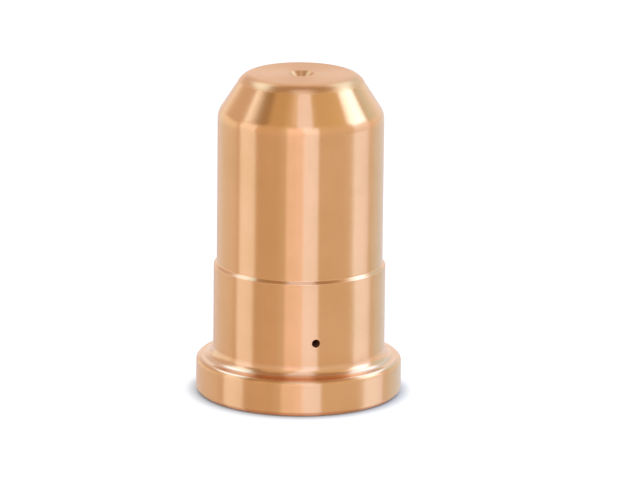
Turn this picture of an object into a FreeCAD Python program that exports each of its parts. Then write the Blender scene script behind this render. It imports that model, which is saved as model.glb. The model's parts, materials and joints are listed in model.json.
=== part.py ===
# Plasma torch nozzle, turned from one bar of copper.
#
# The nozzle stands on the rear face of its flange, with the orifice at the top.
# Frame: the origin is the centre of the flange's rear face, +Z runs along the axis
# to the orifice, and the first bleed hole opens towards -Y. Sizes are in millimetres.
#
# Outside, from the rear: a flange, a lower body that meets it in a fillet, a small
# step, an upper body, and a conical nose that ends in a flat tip face.
# Inside, from the rear: a chamfered mouth, the seat of the gas cartridge, the bore
# that the electrode stands in, a cone that gathers the gas, a short entry cone, the
# orifice, and its countersink in the tip face. Bleed holes pass through the wall.

import FreeCAD, Part

import os
from types import SimpleNamespace

import Sketcher

NODE = "nozzle"
SHEET = "Dimensions"
FULL_TURN = 360
SAME_PLACE = 1e-4

# What a sketch calls its own horizontal axis, its vertical axis, and the points of a curve.
ACROSS = -1
UPWARDS = -2
START, END, CENTRE = 1, 2, 3

SIZES = {
    # Outside
    "overall_length": 24.5,
    "upper_body_diameter": 12.5,
    "step_height": 10.05,
    "step_width": 0.225,
    "flange_thickness": 2.75,
    "flange_overhang": 1.275,
    "flange_edge_radius": 0.4,
    "flange_rear_chamfer": 0.3,
    "base_fillet_radius": 0.8,
    "shoulder_radius": 1.5,
    "nose_half_angle": 32.8,
    "tip_face_diameter": 8.65,
    "tip_edge_radius": 1.25,
    # Inside
    "wall_thickness": 1.65,
    "cartridge_ledge_width": 0.6,
    "cartridge_seat_depth": 4.2,
    "mouth_chamfer": 0.4,
    "chamber_half_angle": 45.0,
    "chamber_blend_radius": 0.8,
    "entry_diameter": 2.8,
    "entry_half_angle": 30.0,
    "orifice_diameter": 1.1,
    "orifice_length": 2.1,
    "countersink_diameter": 1.9,
    "countersink_half_angle": 50.0,
    # Bleed holes
    "bleed_hole_diameter": 0.55,
    "bleed_hole_above_flange": 2.55,
    "bleed_hole_count": 3,
}


def make_sheet(doc):
    """The spreadsheet of driving dimensions, one named cell each."""
    sheet = doc.addObject("Spreadsheet::Sheet", SHEET)
    for row, (alias, value) in enumerate(SIZES.items(), 1):
        sheet.set(f"A{row}", alias)
        sheet.set(f"B{row}", str(value))
        sheet.setAlias(f"B{row}", alias)
    doc.recompute()
    return sheet


def make_places():
    """Radii and heights of the turned corners, as expressions in the sheet's cells."""
    cell = SimpleNamespace(**{alias: f"{SHEET}.{alias}" for alias in SIZES})
    at = SimpleNamespace()
    at.upper_body = f"{cell.upper_body_diameter} / 2"
    at.lower_body = f"({at.upper_body} + {cell.step_width})"
    at.flange = f"({at.lower_body} + {cell.flange_overhang})"
    at.flange_top = cell.flange_thickness
    at.step_top = cell.step_height
    at.step_bottom = f"{at.step_top} - {cell.step_width}"
    at.tip_edge = f"{cell.tip_face_diameter} / 2"
    at.tip = cell.overall_length
    at.shoulder = f"{at.tip} - ({at.upper_body} - {at.tip_edge}) / tan({cell.nose_half_angle})"
    at.bore = f"({at.upper_body} - {cell.wall_thickness})"
    at.seat = f"{at.bore} + {cell.cartridge_ledge_width}"
    at.seat_end = cell.cartridge_seat_depth
    at.mouth = f"{at.seat} + {cell.mouth_chamfer}"
    at.mouth_end = cell.mouth_chamfer
    at.entry = f"{cell.entry_diameter} / 2"
    at.orifice = f"{cell.orifice_diameter} / 2"
    at.orifice_start = f"{at.tip} - {cell.orifice_length}"
    at.entry_start = f"{at.orifice_start} - ({at.entry} - {at.orifice}) / tan({cell.entry_half_angle})"
    at.bore_end = f"{at.entry_start} - ({at.bore} - {at.entry}) / tan({cell.chamber_half_angle})"
    at.countersink = f"{cell.countersink_diameter} / 2"
    at.countersink_start = (
        f"{at.tip} - ({at.countersink} - {at.orifice}) / tan({cell.countersink_half_angle})"
    )
    at.bleed_hole = f"{at.flange_top} + {cell.bleed_hole_above_flange}"
    return cell, at


def origin_part(body, role):
    """The plane or axis of the body's own origin with this role."""
    return next(o for o in body.Origin.OriginFeatures if o.Role == role)


def new_sketch(body, name):
    """An empty sketch on the plane that holds the axis, with the height upwards in it."""
    sketch = body.newObject("Sketcher::SketchObject", name)
    sketch.AttachmentSupport = (origin_part(body, "XZ_Plane"), [""])
    sketch.MapMode = "FlatFace"
    return sketch


def tie_distance(sketch, kind, curve, point, distance):
    """Keeps a point of a curve at this distance from the sketch's origin, across it or upwards."""
    value = float(sketch.evalExpression(distance))
    number = sketch.addConstraint(Sketcher.Constraint(kind, ACROSS, START, curve, point, value))
    sketch.setExpression(f"Constraints[{number}]", distance)


def place_point(sketch, line, radius, height):
    """Ties the start of a line to its radius and height, or to the sketch's axes where they are 0."""
    for kind, axis, distance in (("DistanceX", UPWARDS, radius), ("DistanceY", ACROSS, height)):
        if distance == "0":
            sketch.addConstraint(Sketcher.Constraint("PointOnObject", line, START, axis))
        else:
            tie_distance(sketch, kind, line, START, distance)


def half_section(body, name, corners):
    """A closed outline on one side of the axis, with a (radius, height) pair for each corner."""
    sketch = new_sketch(body, name)
    points = [
        FreeCAD.Vector(float(sketch.evalExpression(r)), float(sketch.evalExpression(h)), 0)
        for r, h in corners
    ]
    count = len(points)
    for line in range(count):
        sketch.addGeometry(Part.LineSegment(points[line], points[(line + 1) % count]))
    for line in range(count):
        following = (line + 1) % count
        sketch.addConstraint(Sketcher.Constraint("Coincident", line, END, following, START))
    for line, (radius, height) in enumerate(corners):
        place_point(sketch, line, radius, height)
    return sketch


def turn(body, kind, name, sketch):
    """A Revolution, which adds, or a Groove, which cuts, of a half section about the axis."""
    feature = body.newObject(kind, name)
    feature.Profile = sketch
    feature.ReferenceAxis = (sketch, ["V_Axis"])
    feature.Angle = FULL_TURN
    sketch.Visibility = False
    body.Document.recompute()
    return feature


def ring_edge(feature, radius, height):
    """The name of the feature's round edge with this radius and height."""
    radius, height = (float(feature.evalExpression(value)) for value in (radius, height))
    for number, edge in enumerate(feature.Shape.Edges, 1):
        curve = edge.Curve
        if not isinstance(curve, Part.Circle):
            continue
        if abs(curve.Radius - radius) < SAME_PLACE and abs(curve.Center.z - height) < SAME_PLACE:
            return f"Edge{number}"
    raise ValueError(f"no round edge of radius {radius:.3f} at height {height:.3f}")


def dress_edge(body, kind, name, radius, height, size_name, size):
    """A Fillet or Chamfer on one round edge of the body as it is now."""
    base = body.Tip
    edge = ring_edge(base, radius, height)
    feature = body.newObject(kind, name)
    feature.Base = (base, [edge])
    feature.setExpression(size_name, size)
    body.Document.recompute()


def round_edge(body, name, radius, height, size):
    dress_edge(body, "PartDesign::Fillet", name, radius, height, "Radius", size)


def bevel_edge(body, name, radius, height, size):
    dress_edge(body, "PartDesign::Chamfer", name, radius, height, "Size", size)


def turn_outside(body, cell, at):
    """Flange, lower body, step, upper body, conical nose and tip face, with their edges dressed."""
    outline = half_section(
        body,
        "outside_profile",
        [
            ("0", "0"),
            (at.flange, "0"),
            (at.flange, at.flange_top),
            (at.lower_body, at.flange_top),
            (at.lower_body, at.step_bottom),
            (at.upper_body, at.step_top),
            (at.upper_body, at.shoulder),
            (at.tip_edge, at.tip),
            ("0", at.tip),
        ],
    )
    turn(body, "PartDesign::Revolution", "turned_outside", outline)
    round_edge(body, "base_fillet", at.lower_body, at.flange_top, cell.base_fillet_radius)
    round_edge(body, "flange_edge", at.flange, at.flange_top, cell.flange_edge_radius)
    round_edge(body, "shoulder_edge", at.upper_body, at.shoulder, cell.shoulder_radius)
    round_edge(body, "tip_edge", at.tip_edge, at.tip, cell.tip_edge_radius)
    bevel_edge(body, "flange_rear_edge", at.flange, "0", cell.flange_rear_chamfer)


def bore_gas_path(body, cell, at):
    """Mouth, cartridge seat, electrode bore, gathering cone, entry cone, orifice and countersink."""
    outline = half_section(
        body,
        "gas_path_profile",
        [
            ("0", "0"),
            (at.mouth, "0"),
            (at.seat, at.mouth_end),
            (at.seat, at.seat_end),
            (at.bore, at.seat_end),
            (at.bore, at.bore_end),
            (at.entry, at.entry_start),
            (at.orifice, at.orifice_start),
            (at.orifice, at.countersink_start),
            (at.countersink, at.tip),
            ("0", at.tip),
        ],
    )
    turn(body, "PartDesign::Groove", "gas_path", outline)
    round_edge(body, "chamber_blend", at.bore, at.bore_end, cell.chamber_blend_radius)


def drill_bleed_holes(body, cell, at):
    """Small radial holes through the lower wall, equally spaced about the axis."""
    sketch = new_sketch(body, "bleed_hole_profile")
    height = float(sketch.evalExpression(at.bleed_hole))
    radius = float(sketch.evalExpression(cell.bleed_hole_diameter)) / 2
    circle = Part.Circle(FreeCAD.Vector(0, height, 0), FreeCAD.Vector(0, 0, 1), radius)
    ring = sketch.addGeometry(circle)
    sketch.addConstraint(Sketcher.Constraint("PointOnObject", ring, CENTRE, UPWARDS))
    tie_distance(sketch, "DistanceY", ring, CENTRE, at.bleed_hole)
    width = sketch.addConstraint(Sketcher.Constraint("Diameter", ring, 2 * radius))
    sketch.setExpression(f"Constraints[{width}]", cell.bleed_hole_diameter)

    solid_before = body.Shape.Volume
    hole = body.newObject("PartDesign::Pocket", "bleed_hole")
    hole.Profile = sketch
    hole.Type = "ThroughAll"
    hole.Reversed = True
    sketch.Visibility = False
    body.Document.recompute()
    if body.Shape.Volume >= solid_before:
        raise ValueError("the bleed hole cuts nothing")

    holes = body.newObject("PartDesign::PolarPattern", "bleed_holes")
    holes.Originals = [hole]
    holes.Axis = (origin_part(body, "Z_Axis"), [""])
    holes.Angle = FULL_TURN
    holes.setExpression("Occurrences", cell.bleed_hole_count)
    body.Tip = holes
    body.Document.recompute()


def make_nozzle(doc):
    """The whole nozzle as one body."""
    cell, at = make_places()
    body = doc.addObject("PartDesign::Body", NODE)
    body.Label = NODE
    turn_outside(body, cell, at)
    bore_gas_path(body, cell, at)
    drill_bleed_holes(body, cell, at)
    return body


def check_document(doc):
    """Stops if any object of the document failed to compute."""
    for item in doc.Objects:
        if {"Invalid", "Error"} & set(item.State):
            raise RuntimeError(f"{item.Label} did not compute: {item.State}")


def export_part(body):
    """Writes the body's solid as parts/LABEL.step."""
    shape = body.Shape
    if shape.isNull() or not shape.isValid() or len(shape.Solids) != 1:
        raise RuntimeError(f"{body.Label} is not one valid solid")
    os.makedirs("parts", exist_ok=True)
    shape.exportStep(f"parts/{body.Label}.step")
    print(body.Label, "volume", round(shape.Volume, 3), "mm3, box", shape.BoundBox)


def main():
    doc = FreeCAD.newDocument("plasma_torch_nozzle")
    make_sheet(doc)
    body = make_nozzle(doc)
    doc.recompute()
    check_document(doc)
    export_part(body)


main()
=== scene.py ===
# Plasma torch nozzle: one turned copper piece, standing on a white studio floor.
#
# Lengths are in metres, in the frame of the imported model: the origin is the centre of the
# flange's rear face, and +Z runs along the axis to the orifice. Directions to the camera, the
# lamps and the sky are in degrees, and azimuths count from the camera's side to its right.

import json
import math
from collections import namedtuple

import bpy
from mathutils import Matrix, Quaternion, Vector


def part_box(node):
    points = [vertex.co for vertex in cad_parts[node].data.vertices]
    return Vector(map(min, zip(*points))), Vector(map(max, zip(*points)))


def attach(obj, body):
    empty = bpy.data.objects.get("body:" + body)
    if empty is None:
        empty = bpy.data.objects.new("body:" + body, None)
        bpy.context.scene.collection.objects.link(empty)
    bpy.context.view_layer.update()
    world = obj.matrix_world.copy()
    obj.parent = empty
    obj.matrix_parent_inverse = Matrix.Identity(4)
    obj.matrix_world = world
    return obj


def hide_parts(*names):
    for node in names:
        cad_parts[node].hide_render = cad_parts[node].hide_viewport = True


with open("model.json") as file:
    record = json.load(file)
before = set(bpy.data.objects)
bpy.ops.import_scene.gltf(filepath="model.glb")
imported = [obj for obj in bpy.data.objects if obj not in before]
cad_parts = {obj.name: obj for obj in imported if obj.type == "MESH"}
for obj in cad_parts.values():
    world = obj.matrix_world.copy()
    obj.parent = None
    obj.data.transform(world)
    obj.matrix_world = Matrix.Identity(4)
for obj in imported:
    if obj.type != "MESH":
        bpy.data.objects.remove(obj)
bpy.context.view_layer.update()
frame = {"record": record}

MM = 0.001
NODE = "nozzle"

# The photograph's frame in pixels, and the long lens that sees the nozzle as it does
IMAGE_WIDTH = 636
IMAGE_HEIGHT = 491
SENSOR_WIDTH = 36.0
CAMERA_AZIMUTH = -11.4
CAMERA_ELEVATION = 14.3
CAMERA_ROLL = 0.6
CAMERA_DISTANCE = 450 * MM
CAMERA_SCALE = 13.29 / MM
CAMERA_CLIP = (0.01, 10.0)
AIMED_HEIGHT = 12.3 * MM
AIMED_PIXEL = (299.86, 231.4)

# Sizes of the turned piece that the frame doesn't state
FLANGE_THICKNESS = 2.75 * MM
FLANGE_EDGE_RADIUS = 0.4 * MM
FLANGE_REAR_CHAMFER = 0.3 * MM
BASE_FILLET_RADIUS = 0.8 * MM
STEP_HEIGHT = 10.05 * MM
SHOULDER_RADIUS = 1.5 * MM
NOSE_HALF_ANGLE = math.radians(32.8)
TIP_FACE_RADIUS = 4.325 * MM
TIP_EDGE_RADIUS = 1.25 * MM
MOUTH_CHAMFER = 0.4 * MM
CARTRIDGE_SEAT_DEPTH = 4.2 * MM
CHAMBER_HALF_ANGLE = math.radians(45)
CHAMBER_BLEND_RADIUS = 0.8 * MM
ENTRY_RADIUS = 1.4 * MM
ENTRY_HALF_ANGLE = math.radians(30)
ORIFICE_LENGTH = 2.1 * MM
COUNTERSINK_RADIUS = 0.95 * MM
COUNTERSINK_HALF_ANGLE = math.radians(50)
EDGE_BREAK = 0.04 * MM
STEP_BLEND = 0.1 * MM
BLEED_HOLE_RADIUS = 0.275 * MM
BLEED_HOLE_HEIGHT = 5.3 * MM
BLEED_HOLE_COUNT = 3

# Fineness of the mesh: columns round the axis, the turn from one point of an arc to the next,
# and the square patch round each bleed hole, in columns from its centre and rings to its edge
COLUMNS = 288
ARC_STEP = math.radians(7.5)
PATCH_REACH = 5
PATCH_RINGS = 3
HOLED_WALLS = ("lower_barrel", "bore_wall")

# Arcs of the flange whose normals rise more than this belong to its rim, whose paler copper is a
# painted highlight
RIM_SLOPE = math.sin(math.radians(50.0))
RIM_ARCS = ("flange", "fillet")

# Copper: its colour, lighter copies that paint highlights on the edges and the flange's rim, and
# each finish as (colour, roughness, anisotropy)
COPPER = (0.8, 0.405, 0.185, 1.0)
# Lighter copper on the fillet and the step: a painted highlight
EDGE_PAINTED_HIGHLIGHT_COPPER = (0.81, 0.43, 0.22, 1.0)
# Paler copper on the flange's rim and rear chamfer: a painted highlight, lighter than the
# copper's own colour
RIM_PAINTED_HIGHLIGHT_COPPER = (0.86, 0.52, 0.32, 1.0)
FINISHES = {
    "fine_turned_copper": (COPPER, 0.25, 1.0),
    "polished_copper": (COPPER, 0.2, 0.9),
    # The edges' lighter copper is a painted highlight
    "edge_painted_highlight_copper": (EDGE_PAINTED_HIGHLIGHT_COPPER, 0.22, 0.8),
    # The rim's paler copper is a painted highlight
    "rim_painted_highlight_copper": (RIM_PAINTED_HIGHLIGHT_COPPER, 0.22, 0.8),
    "satin_faced_copper": (COPPER, 0.32, 0.6),
    "bored_copper": (COPPER, 0.4, 0.5),
}
ZONE_FINISH = {
    "flange": "fine_turned_copper",
    # The flange's rim gets paler copper, a painted highlight
    "flange_rim": "rim_painted_highlight_copper",
    # The fillet and the step get lighter copper, a painted highlight
    "fillet": "edge_painted_highlight_copper",
    "lower_barrel": "fine_turned_copper",
    "step": "edge_painted_highlight_copper",
    "upper_barrel": "fine_turned_copper",
    "cone": "polished_copper",
    "tip_round": "satin_faced_copper",
    "tip_face": "satin_faced_copper",
    "bore": "bored_copper",
    "bore_wall": "bored_copper",
}

# The turn of the finish's streaks that lays them round the axis
STREAK_TURN = 0.25

# Clouds of faint tarnish, and turning marks that vary the height and the roughness
TARNISH = (0.94, 0.94, 0.88)
CLOUD_SCALE = 260.0
CLOUD_DETAIL = 3.0
CLOUD_RANGE = (0.3, 0.6)
MARK_SCALE = 1400.0
MARK_DETAIL = 2.0
MARK_ROUGHNESS = 0.5
MARK_RANGE = (0.25, 0.75)
MARK_DEPTH = 0.0006 * MM
MARK_SHEEN = 0.05

# Lamps: (name, azimuth, elevation, width, height, the radiance that a mirror would show)
LAMP_DISTANCE = 0.6
LAMPS = [
    ("left_strip", -78.5, 14, 27, 28, (0.48, 0.8, 1.35)),
    ("left_strip_top", -88, 36, 16, 14, (0.25, 0.35, 0.7)),
    ("left_back", -123, 49, 46, 20, (0.35, 1.1, 2.0)),
    ("left_low", -125, 4, 50, 20, (0.1, 0.25, 0.3)),
    ("front_strip_left", -7, 18, 24, 36, (0.42, 0.45, 0.75)),
    ("front_strip_right", 15, 18, 20, 36, (0.48, 0.83, 1.75)),
    ("front_strip_top", 7, 46, 18, 22, (0.35, 0.65, 1.6)),
    ("front_overhead", 5, 72, 24, 28, (0.6, 0.9, 1.5)),
    ("right_strip", 93.5, 17, 31, 34, (0.12, 0.3, 0.75)),
    ("right_strip_top", 98.5, 33, 28, 22, (0.7, 1.6, 3.1)),
    ("right_back", 130, 45, 48, 20, (0.3, 1.0, 2.0)),
    ("right_edge", 140, 15, 36, 30, (0.0, 0.15, 0.25)),
]

# Darker parts of the white sky, each laid over those before it, with soft edges:
# (from azimuth, to azimuth, from elevation, to elevation, colour)
SKY_PATCHES = [
    (-96, 79, -30, 58, (0.88, 0.89, 0.85)),
    (-92, -28, -30, 58, (0.83, 0.77, 0.67)),
    (-96, 79, 36, 58, (0.84, 0.83, 0.62)),
    (-92, -28, 36, 58, (0.75, 0.69, 0.5)),
    (-85, -58, 33, 58, (0.42, 0.36, 0.26)),
    (-170, -98, 14, 38, (0.75, 0.72, 0.72)),
    (112, 170, 14, 34, (0.76, 0.9, 1.0)),
    (-200, 200, 57, 100, (0.46, 0.36, 0.26)),
]
PATCH_EDGE = 4.0
WHITE = (1.0, 1.0, 1.0, 1.0)

# The floor as the copper mirrors it: plain, with a sheen
FLOOR_SIZE = 6.0
FLOOR_DROP = 0.02 * MM
FLOOR_COLOUR = (0.8, 0.8, 0.8, 1.0)
SHEEN_COLOUR = (0.96, 0.96, 0.96, 1.0)
SHEEN_SHARE = 0.88
SHEEN_ROUGHNESS = 0.08

# The floor as the camera sees it: it glows to white, with a painted shadow that dims the glow
# beside the flange and takes it away under it
BACKDROP_SHADE = (0.4, 0.4, 0.4, 1.0)
BACKDROP_GLOW = (0.71, 0.71, 0.71, 1.0)
COVERED_FLOOR = (6.8 * MM, 7.5 * MM)
CONTACT_SHADOW_REACH = 1.0 * MM
CONTACT_SHADOW_DEPTH = 1.4
CONTACT_SHADOW_SAMPLES = 8

# A corner of the outline, and a short stretch of it; points and normals are (radius, height)
Corner = namedtuple("Corner", "radius height rounding arc_zone wall_zone")
Band = namedtuple("Band", "start start_normal end end_normal zone")


def frame_sizes():
    """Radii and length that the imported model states."""
    mounts = frame["record"]["mounts"]
    radii = {m["name"]: m["dims"]["r_mm"] * MM for m in mounts if "r_mm" in m["dims"]}
    _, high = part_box(NODE)
    return {
        "tip": high.z,
        "flange": high.x,
        "lower": radii["lower_barrel"],
        "upper": radii["upper_barrel"],
        "seat": radii["cartridge_seat"],
        "bore": radii["electrode_bore"],
        "orifice": radii["orifice"],
    }


def turned_corners():
    """The corners of the turned outline, up the outside first and then down the inside."""
    s = frame_sizes()
    tip = s["tip"]
    shoulder = tip - (s["upper"] - TIP_FACE_RADIUS) / math.tan(NOSE_HALF_ANGLE)
    orifice_start = tip - ORIFICE_LENGTH
    entry_start = orifice_start - (ENTRY_RADIUS - s["orifice"]) / math.tan(ENTRY_HALF_ANGLE)
    bore_end = entry_start - (s["bore"] - ENTRY_RADIUS) / math.tan(CHAMBER_HALF_ANGLE)
    countersink_depth = (COUNTERSINK_RADIUS - s["orifice"]) / math.tan(COUNTERSINK_HALF_ANGLE)
    step_bottom = STEP_HEIGHT - (s["lower"] - s["upper"])
    return [
        Corner(s["seat"] + MOUTH_CHAMFER, 0.0, EDGE_BREAK, "flange", "flange"),
        Corner(s["flange"] - FLANGE_REAR_CHAMFER, 0.0, EDGE_BREAK, "flange_rim", "flange_rim"),
        Corner(s["flange"], FLANGE_REAR_CHAMFER, EDGE_BREAK, "flange", "flange"),
        Corner(s["flange"], FLANGE_THICKNESS, FLANGE_EDGE_RADIUS, "flange", "flange_rim"),
        Corner(s["lower"], FLANGE_THICKNESS, BASE_FILLET_RADIUS, "fillet", "lower_barrel"),
        Corner(s["lower"], step_bottom, STEP_BLEND, "step", "step"),
        Corner(s["upper"], STEP_HEIGHT, STEP_BLEND, "step", "upper_barrel"),
        Corner(s["upper"], shoulder, SHOULDER_RADIUS, "cone", "cone"),
        Corner(TIP_FACE_RADIUS, tip, TIP_EDGE_RADIUS, "tip_round", "tip_face"),
        Corner(COUNTERSINK_RADIUS, tip, EDGE_BREAK, "bore", "bore"),
        Corner(s["orifice"], tip - countersink_depth, EDGE_BREAK, "bore", "bore"),
        Corner(s["orifice"], orifice_start, EDGE_BREAK, "bore", "bore"),
        Corner(ENTRY_RADIUS, entry_start, EDGE_BREAK, "bore", "bore"),
        Corner(s["bore"], bore_end, CHAMBER_BLEND_RADIUS, "bore", "bore_wall"),
        Corner(s["bore"], CARTRIDGE_SEAT_DEPTH, EDGE_BREAK, "bore", "bore"),
        Corner(s["seat"], CARTRIDGE_SEAT_DEPTH, EDGE_BREAK, "bore", "bore"),
        Corner(s["seat"], MOUTH_CHAMFER, EDGE_BREAK, "bore", "bore"),
    ]


def normal_right_of(direction):
    """The normal on the right of a direction in the (radius, height) plane, out of the metal."""
    return Vector((direction.y, -direction.x))


def turned(vector, angle):
    """A plane vector turned by an angle."""
    c, s = math.cos(angle), math.sin(angle)
    return Vector((c * vector.x - s * vector.y, s * vector.x + c * vector.y))


def corner_arc(before, corner, after, rounding):
    """Points and normals of the arc that rounds a corner."""
    way_in = (corner - before).normalized()
    way_out = (after - corner).normalized()
    turn = math.atan2(way_in.cross(way_out), way_in.dot(way_out))
    side = math.copysign(1, turn)
    start = corner - way_in * rounding * math.tan(abs(turn) / 2)
    first = normal_right_of(way_in)
    centre = start - first * rounding * side
    steps = max(2, math.ceil(abs(turn) / ARC_STEP))
    normals = [turned(first, turn * i / steps) for i in range(steps + 1)]
    return [(centre + normal * rounding * side, normal) for normal in normals]


def bands_of(corners):
    """The outline as bands, all the way round: each corner's arc and the wall that follows."""
    points = [Vector((corner.radius, corner.height)) for corner in corners]
    count = len(corners)
    arcs = [
        corner_arc(points[i - 1], points[i], points[(i + 1) % count], corners[i].rounding)
        for i in range(count)
    ]
    bands = []
    for i, (corner, arc) in enumerate(zip(corners, arcs)):
        for (start, start_normal), (end, end_normal) in zip(arc, arc[1:]):
            rise = (start_normal.y + end_normal.y) / 2
            # Upward-facing arcs of the flange and fillet join the rim, whose paler copper is a
            # painted highlight
            on_rim = corner.arc_zone in RIM_ARCS and rise > RIM_SLOPE
            zone = "flange_rim" if on_rim else corner.arc_zone
            bands.append(Band(start, start_normal, end, end_normal, zone))
        wall_start, wall_end = arc[-1][0], arcs[(i + 1) % count][0][0]
        normal = normal_right_of((wall_end - wall_start).normalized())
        for start, end in wall_pieces(wall_start, wall_end, corner.wall_zone):
            bands.append(Band(start, normal, end, normal, corner.wall_zone))
    return bands


def column_pitch(radius):
    """The length round the axis from one column to the next."""
    return radius * math.tau / COLUMNS


def wall_pieces(start, end, zone):
    """A straight wall in one piece, or with close rows where the bleed holes cross it."""
    if zone not in HOLED_WALLS:
        return [(start, end)]
    row_height = math.copysign(column_pitch(start.x), end.y - start.y)
    rows = [
        Vector((start.x, BLEED_HOLE_HEIGHT + row_height * row))
        for row in range(-PATCH_REACH, PATCH_REACH + 1)
    ]
    rows = [start, *rows, end]
    return list(zip(rows, rows[1:]))


def around(radius, height, column):
    """The place of a point of the outline in a column, counted from the first bleed hole."""
    angle = math.tau * column / COLUMNS
    return (radius * math.sin(angle), -radius * math.cos(angle), height)


class MeshParts:
    """Vertices, faces, normals at the faces' corners, and the zone of each face."""

    def __init__(self):
        self.vertices = []
        self.faces = []
        self.normals = []
        self.zones = []

    def add_vertex(self, place):
        self.vertices.append(place)
        return len(self.vertices) - 1

    def add_face(self, corners, zone):
        """corners are (vertex, normal) pairs."""
        self.faces.append([vertex for vertex, _ in corners])
        self.normals.extend(normal for _, normal in corners)
        self.zones.append(zone)


def build_nozzle_mesh():
    """The turned form, with square patches that lead to round bleed holes."""
    parts = MeshParts()
    bands = bands_of(turned_corners())
    rings = [
        [parts.add_vertex(around(*band.start, column)) for column in range(COLUMNS)]
        for band in bands
    ]
    hole_columns = [COLUMNS * hole // BLEED_HOLE_COUNT for hole in range(BLEED_HOLE_COUNT)]
    patched = {
        (centre + offset) % COLUMNS
        for centre in hole_columns
        for offset in range(-PATCH_REACH, PATCH_REACH)
    }
    for band, below, above in zip(bands, rings, rings[1:] + rings[:1]):
        from_holes = abs((band.start.y + band.end.y) / 2 - BLEED_HOLE_HEIGHT)
        patch_height = PATCH_REACH * column_pitch(band.start.x)
        at_holes = band.zone in HOLED_WALLS and from_holes < patch_height
        for column in range(COLUMNS):
            if at_holes and column in patched:
                continue
            following = (column + 1) % COLUMNS
            corners = [
                (below[column], around(*band.start_normal, column)),
                (below[following], around(*band.start_normal, column + 1)),
                (above[following], around(*band.end_normal, column + 1)),
                (above[column], around(*band.end_normal, column)),
            ]
            parts.add_face(corners, band.zone)
    add_bleed_holes(parts, bands, rings, hole_columns)
    return parts


def add_bleed_holes(parts, bands, rings, hole_columns):
    """Leads each square gap in the outer and inner wall to a circle, and joins the circles."""
    for hole, centre in enumerate(hole_columns):
        mouth_radius = BLEED_HOLE_RADIUS + EDGE_BREAK
        mouth = add_patch(parts, bands, rings, hole, centre, "lower_barrel", mouth_radius)
        exit_circle = add_patch(parts, bands, rings, hole, centre, "bore_wall", BLEED_HOLE_RADIUS)
        edge_depth = frame_sizes()["lower"] - EDGE_BREAK
        edge = hole_circle(parts, hole, BLEED_HOLE_RADIUS, edge_depth)
        normal = hole_wall_normal(parts, hole)
        join_loops(parts, mouth, edge, "bore", normal, 1)
        join_loops(parts, edge, exit_circle, "bore", normal, 1)


def add_patch(parts, bands, rings, hole, centre, zone, hole_radius):
    """Fills a square gap in a wall round a circle, and gives the circle's vertices."""
    sign = 1 if zone == "lower_barrel" else -1
    first_row = [index for index, band in enumerate(bands) if band.zone == zone][1]
    wall_radius = bands[first_row].start.x
    border = [
        rings[first_row + PATCH_REACH + sign * row][(centre + column) % COLUMNS]
        for column, row in patch_border()
    ]
    circle = hole_circle(parts, hole, hole_radius, wall_radius)
    loops = [border]
    for step in range(1, PATCH_RINGS):
        loops.append(blended_loop(parts, border, circle, step / PATCH_RINGS, wall_radius))
    loops.append(circle)

    def normal(vertex):
        return radial(parts.vertices[vertex], sign)

    for outer, inner in zip(loops, loops[1:]):
        join_loops(parts, outer, inner, zone, normal, sign)
    return circle


def patch_border():
    """Columns and rows of the square border round a bleed hole, in order."""
    reach = PATCH_REACH
    steps = range(-reach, reach)
    return (
        [(reach, i) for i in steps]
        + [(-i, reach) for i in steps]
        + [(-reach, -i) for i in steps]
        + [(i, -reach) for i in steps]
    )


def hole_circle(parts, hole, radius, wall_radius):
    """Vertices where a cylinder of this radius about a hole's axis meets a round wall."""
    turn_to_hole = math.tau * hole / BLEED_HOLE_COUNT
    ring = []
    for column, row in patch_border():
        angle = math.atan2(row, column)
        across, up = radius * math.cos(angle), radius * math.sin(angle)
        out = math.sqrt(wall_radius ** 2 - across ** 2)
        x = across * math.cos(turn_to_hole) + out * math.sin(turn_to_hole)
        y = across * math.sin(turn_to_hole) - out * math.cos(turn_to_hole)
        ring.append(parts.add_vertex((x, y, BLEED_HOLE_HEIGHT + up)))
    return ring


def blended_loop(parts, border, circle, share, wall_radius):
    """A loop between the border and the circle, on the round wall."""
    loop = []
    for a, b in zip(border, circle):
        place = Vector(parts.vertices[a]).lerp(Vector(parts.vertices[b]), share)
        stretch = wall_radius / math.hypot(place.x, place.y)
        loop.append(parts.add_vertex((place.x * stretch, place.y * stretch, place.z)))
    return loop


def radial(place, sign):
    """The normal of a round wall at a place on it: out from the axis, or in towards it."""
    x, y, _ = place
    length = math.hypot(x, y)
    return (sign * x / length, sign * y / length, 0.0)


def hole_wall_normal(parts, hole):
    """What gives the normal of a hole's wall at a vertex: towards the hole's axis."""
    angle = math.tau * hole / BLEED_HOLE_COUNT
    across = Vector((math.cos(angle), math.sin(angle), 0.0))

    def normal(vertex):
        place = Vector(parts.vertices[vertex])
        upwards = Vector((0.0, 0.0, BLEED_HOLE_HEIGHT - place.z))
        inwards = across * -place.dot(across) + upwards
        return tuple(inwards.normalized())

    return normal


def join_loops(parts, outer, inner, zone, normal, sign):
    """Faces between two loops of as many vertices."""
    count = len(outer)
    for i in range(count):
        j = (i + 1) % count
        face = [outer[i], outer[j], inner[j], inner[i]]
        if sign < 0:
            face.reverse()
        parts.add_face([(vertex, normal(vertex)) for vertex in face], zone)


def make_nozzle():
    """The nozzle as one piece, in place of the plain solid."""
    parts = build_nozzle_mesh()
    mesh = bpy.data.meshes.new("turned_nozzle")
    mesh.from_pydata(parts.vertices, [], parts.faces)
    mesh.normals_split_custom_set(parts.normals)
    names = list(FINISHES)
    for name in names:
        mesh.materials.append(copper_material(name, *FINISHES[name]))
    slots = [names.index(ZONE_FINISH[zone]) for zone in parts.zones]
    mesh.polygons.foreach_set("material_index", slots)
    mesh.update()
    piece = bpy.data.objects.new("turned_nozzle", mesh)
    bpy.context.scene.collection.objects.link(piece)
    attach(piece, "root")
    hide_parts(NODE)


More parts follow.
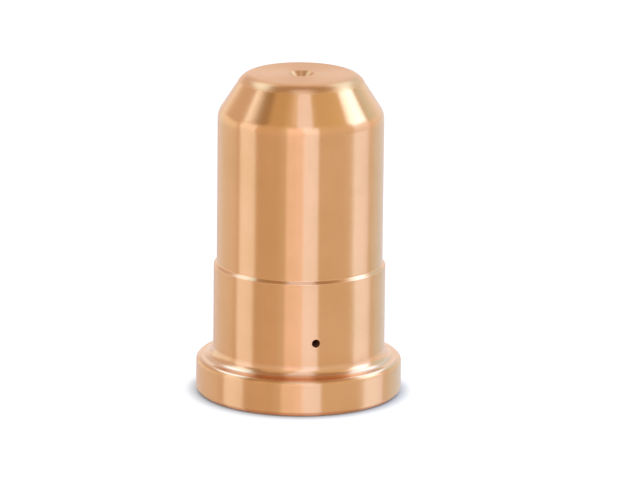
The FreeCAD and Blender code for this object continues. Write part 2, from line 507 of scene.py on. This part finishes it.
class Graph:
    """The node tree of a material or of the world, with short ways to add to it."""

    def __init__(self, owner):
        owner.use_nodes = True
        self.nodes = owner.node_tree.nodes
        self.links = owner.node_tree.links

    def fill(self, node, inputs):
        """Gives a node's inputs their values, or joins them to other nodes' outputs."""
        for key, value in inputs.items():
            if isinstance(value, bpy.types.NodeSocket):
                self.links.new(value, node.inputs[key])
            else:
                node.inputs[key].default_value = value

    def add(self, kind, inputs=None, **settings):
        """The outputs of a new node."""
        node = self.nodes.new(kind)
        for name, value in settings.items():
            setattr(node, name, value)
        self.fill(node, inputs or {})
        return node.outputs

    def calculate(self, operation, *values):
        inputs = dict(enumerate(values))
        return self.add("ShaderNodeMath", inputs, operation=operation)["Value"]

    def ranged(self, value, start, end, low=0.0, high=1.0, interpolation="LINEAR"):
        """A value carried from one range to another."""
        inputs = {
            "Value": value, "From Min": start, "From Max": end, "To Min": low, "To Max": high,
        }
        return self.add("ShaderNodeMapRange", inputs, interpolation_type=interpolation)["Result"]

    def blended(self, factor, first, second):
        """A colour on the way from the first to the second."""
        inputs = {"Factor": factor, "A": first, "B": second}
        return self.add("ShaderNodeMix", inputs, data_type="RGBA")["Result"]

    def seen_directly(self):
        """1 for what the camera sees itself or through something clear, and 0 for the rest."""
        path = self.add("ShaderNodeLightPath")
        return self.calculate("MAXIMUM", path["Is Camera Ray"], path["Is Transmission Ray"])


def copper_material(name, colour, roughness, anisotropy):
    """Bare copper with fine turning marks that run round the axis."""
    material = bpy.data.materials.new(name)
    graph = Graph(material)
    place = graph.add("ShaderNodeTexCoord")["Object"]

    marks = turning_marks(graph, place)
    sheen_range = (roughness * (1 - MARK_SHEEN), roughness * (1 + MARK_SHEEN))
    bump = graph.add("ShaderNodeBump", {"Distance": MARK_DEPTH, "Height": marks})
    tangent = graph.add("ShaderNodeTangent", direction_type="RADIAL", axis="Z")

    cloud_inputs = {"Vector": place, "Scale": CLOUD_SCALE, "Detail": CLOUD_DETAIL}
    cloud = graph.add("ShaderNodeTexNoise", cloud_inputs)["Fac"]
    tarnished = (*(channel * share for channel, share in zip(colour, TARNISH)), 1.0)

    graph.fill(graph.nodes["Principled BSDF"], {
        "Metallic": 1.0,
        "Anisotropic": anisotropy,
        "Anisotropic Rotation": STREAK_TURN,
        "Base Color": graph.blended(graph.ranged(cloud, *CLOUD_RANGE), tarnished, colour),
        "Roughness": graph.ranged(marks, *MARK_RANGE, *sheen_range),
        "Normal": bump["Normal"],
        "Tangent": tangent["Tangent"],
    })
    return material


def turning_marks(graph, place):
    """Noise that varies only along the outline, where height less radius rises to the tip."""
    split = graph.add("ShaderNodeSeparateXYZ", {"Vector": place})
    flat = graph.add("ShaderNodeCombineXYZ", {"X": split["X"], "Y": split["Y"]})
    radius = graph.add("ShaderNodeVectorMath", {0: flat["Vector"]}, operation="LENGTH")
    inputs = {
        "W": graph.calculate("SUBTRACT", split["Z"], radius["Value"]),
        "Scale": MARK_SCALE,
        "Detail": MARK_DETAIL,
        "Roughness": MARK_ROUGHNESS,
    }
    return graph.add("ShaderNodeTexNoise", inputs, noise_dimensions="1D")["Fac"]


def compass(azimuth, elevation):
    """The direction from the object to what lies at these angles."""
    a, e = math.radians(CAMERA_AZIMUTH + azimuth), math.radians(elevation)
    return Vector((math.sin(a) * math.cos(e), -math.cos(a) * math.cos(e), math.sin(e)))


def make_camera():
    """The camera at the photograph's angle, turned so that the nozzle falls as it does there."""
    data = bpy.data.cameras.new("camera")
    data.sensor_width = SENSOR_WIDTH
    data.lens = CAMERA_SCALE * CAMERA_DISTANCE * SENSOR_WIDTH / IMAGE_WIDTH
    data.clip_start, data.clip_end = CAMERA_CLIP
    camera = bpy.data.objects.new("camera", data)
    bpy.context.scene.collection.objects.link(camera)
    back = compass(0, CAMERA_ELEVATION)
    level = back.to_track_quat("Z", "Y").to_matrix()
    right, up = level.col[0], level.col[1]
    seen = Vector((0, 0, AIMED_HEIGHT))
    roll = math.radians(CAMERA_ROLL)
    offset_x = (IMAGE_WIDTH / 2 - AIMED_PIXEL[0]) / CAMERA_SCALE
    offset_y = (AIMED_PIXEL[1] - IMAGE_HEIGHT / 2) / CAMERA_SCALE
    tilted_right = right * math.cos(roll) + up * math.sin(roll)
    tilted_up = up * math.cos(roll) - right * math.sin(roll)
    target = seen + tilted_right * offset_x + tilted_up * offset_y
    camera.location = seen + back * CAMERA_DISTANCE
    towards = (target - camera.location).normalized()
    camera.rotation_mode = "QUATERNION"
    turn = towards.to_track_quat("-Z", "Y")
    camera.rotation_quaternion = turn @ Quaternion((0, 0, 1), roll)
    bpy.context.scene.camera = camera


def make_lamp(name, azimuth, elevation, width, height, radiance):
    """A flat soft lamp that faces the object and that the camera doesn't see."""
    data = bpy.data.lights.new(name, "AREA")
    data.shape = "RECTANGLE"
    data.size = 2 * LAMP_DISTANCE * math.tan(math.radians(width / 2))
    data.size_y = 2 * LAMP_DISTANCE * math.tan(math.radians(height / 2))
    data.energy = max(radiance) * math.pi * data.size * data.size_y
    data.color = [channel / max(radiance) for channel in radiance]
    lamp = bpy.data.objects.new(name, data)
    bpy.context.scene.collection.objects.link(lamp)
    direction = compass(azimuth, elevation)
    lamp.location = Vector((0, 0, AIMED_HEIGHT)) + direction * LAMP_DISTANCE
    lamp.rotation_mode = "QUATERNION"
    lamp.rotation_quaternion = direction.to_track_quat("Z", "Y")
    lamp.visible_camera = False


def make_world():
    """A sky with darker patches that the copper mirrors; the camera sees it white all round."""
    world = bpy.data.worlds.new("studio")
    bpy.context.scene.world = world
    graph = Graph(world)
    graph.nodes.clear()
    facing_inputs = {
        "Vector": graph.add("ShaderNodeTexCoord")["Generated"],
        "Angle": -math.radians(CAMERA_AZIMUTH),
    }
    facing = graph.add("ShaderNodeVectorRotate", facing_inputs, rotation_type="Z_AXIS")
    split = graph.add("ShaderNodeSeparateXYZ", {"Vector": facing["Vector"]})
    towards_camera = graph.calculate("MULTIPLY", split["Y"], -1.0)
    bearing = graph.calculate("ARCTAN2", split["X"], towards_camera)
    azimuth = graph.calculate("DEGREES", bearing)
    elevation = graph.calculate("DEGREES", graph.calculate("ARCSINE", split["Z"]))

    def within(angle, low, high):
        off_centre = graph.calculate("SUBTRACT", angle, (low + high) / 2)
        distance = graph.calculate("ABSOLUTE", off_centre)
        half = (high - low) / 2
        return graph.ranged(
            distance, half + PATCH_EDGE, half - PATCH_EDGE, interpolation="SMOOTHSTEP"
        )

    sky = WHITE
    for from_azimuth, to_azimuth, from_elevation, to_elevation, shade in SKY_PATCHES:
        in_width = within(azimuth, from_azimuth, to_azimuth)
        in_height = within(elevation, from_elevation, to_elevation)
        inside = graph.calculate("MULTIPLY", in_width, in_height)
        sky = graph.blended(inside, sky, (*shade, 1.0))
    colour = graph.blended(graph.seen_directly(), sky, WHITE)
    background = graph.add("ShaderNodeBackground", {"Color": colour})
    graph.add("ShaderNodeOutputWorld", {"Surface": background["Background"]})


def make_floor():
    """A white floor with the nozzle's real shadow, and a painted one in its glow close round the
    flange and under it.
    """
    bpy.ops.mesh.primitive_plane_add(size=FLOOR_SIZE, location=(0, 0, -FLOOR_DROP))
    floor = bpy.context.object
    floor.name = "floor"
    material = bpy.data.materials.new("white_floor")
    graph = Graph(material)
    graph.nodes.clear()

    # Painted contact shadow in the glow: none under the nozzle, and dimmer close round the flange
    place = graph.add("ShaderNodeTexCoord")["Object"]
    radius = graph.add("ShaderNodeVectorMath", {0: place}, operation="LENGTH")["Value"]
    uncovered = graph.ranged(radius, *COVERED_FLOOR)
    openness = graph.add(
        "ShaderNodeAmbientOcclusion",
        {"Distance": CONTACT_SHADOW_REACH},
        samples=CONTACT_SHADOW_SAMPLES,
    )["AO"]
    painted_shadow_glow = graph.calculate("POWER", openness, CONTACT_SHADOW_DEPTH)
    strength = graph.calculate("MULTIPLY", painted_shadow_glow, uncovered)
    glow = graph.add("ShaderNodeEmission", {"Color": BACKDROP_GLOW, "Strength": strength})
    shade = graph.add("ShaderNodeBsdfDiffuse", {"Color": BACKDROP_SHADE})
    backdrop = graph.add("ShaderNodeAddShader", {0: shade["BSDF"], 1: glow["Emission"]})

    glossy_ray = graph.add("ShaderNodeLightPath")["Is Glossy Ray"]
    mirrored = graph.calculate("MULTIPLY", glossy_ray, SHEEN_SHARE)
    matt = graph.add("ShaderNodeBsdfDiffuse", {"Color": FLOOR_COLOUR})
    sheen_inputs = {"Color": SHEEN_COLOUR, "Roughness": SHEEN_ROUGHNESS}
    sheen = graph.add("ShaderNodeBsdfGlossy", sheen_inputs)
    plain_inputs = {"Fac": mirrored, 1: matt["BSDF"], 2: sheen["BSDF"]}
    plain = graph.add("ShaderNodeMixShader", plain_inputs)

    seen_inputs = {"Fac": graph.seen_directly(), 1: plain["Shader"], 2: backdrop["Shader"]}
    seen = graph.add("ShaderNodeMixShader", seen_inputs)
    graph.add("ShaderNodeOutputMaterial", {"Surface": seen["Shader"]})
    floor.data.materials.append(material)


make_nozzle()
make_camera()
for lamp in LAMPS:
    make_lamp(*lamp)
make_world()
make_floor()
bpy.context.scene.view_settings.view_transform = "Standard"
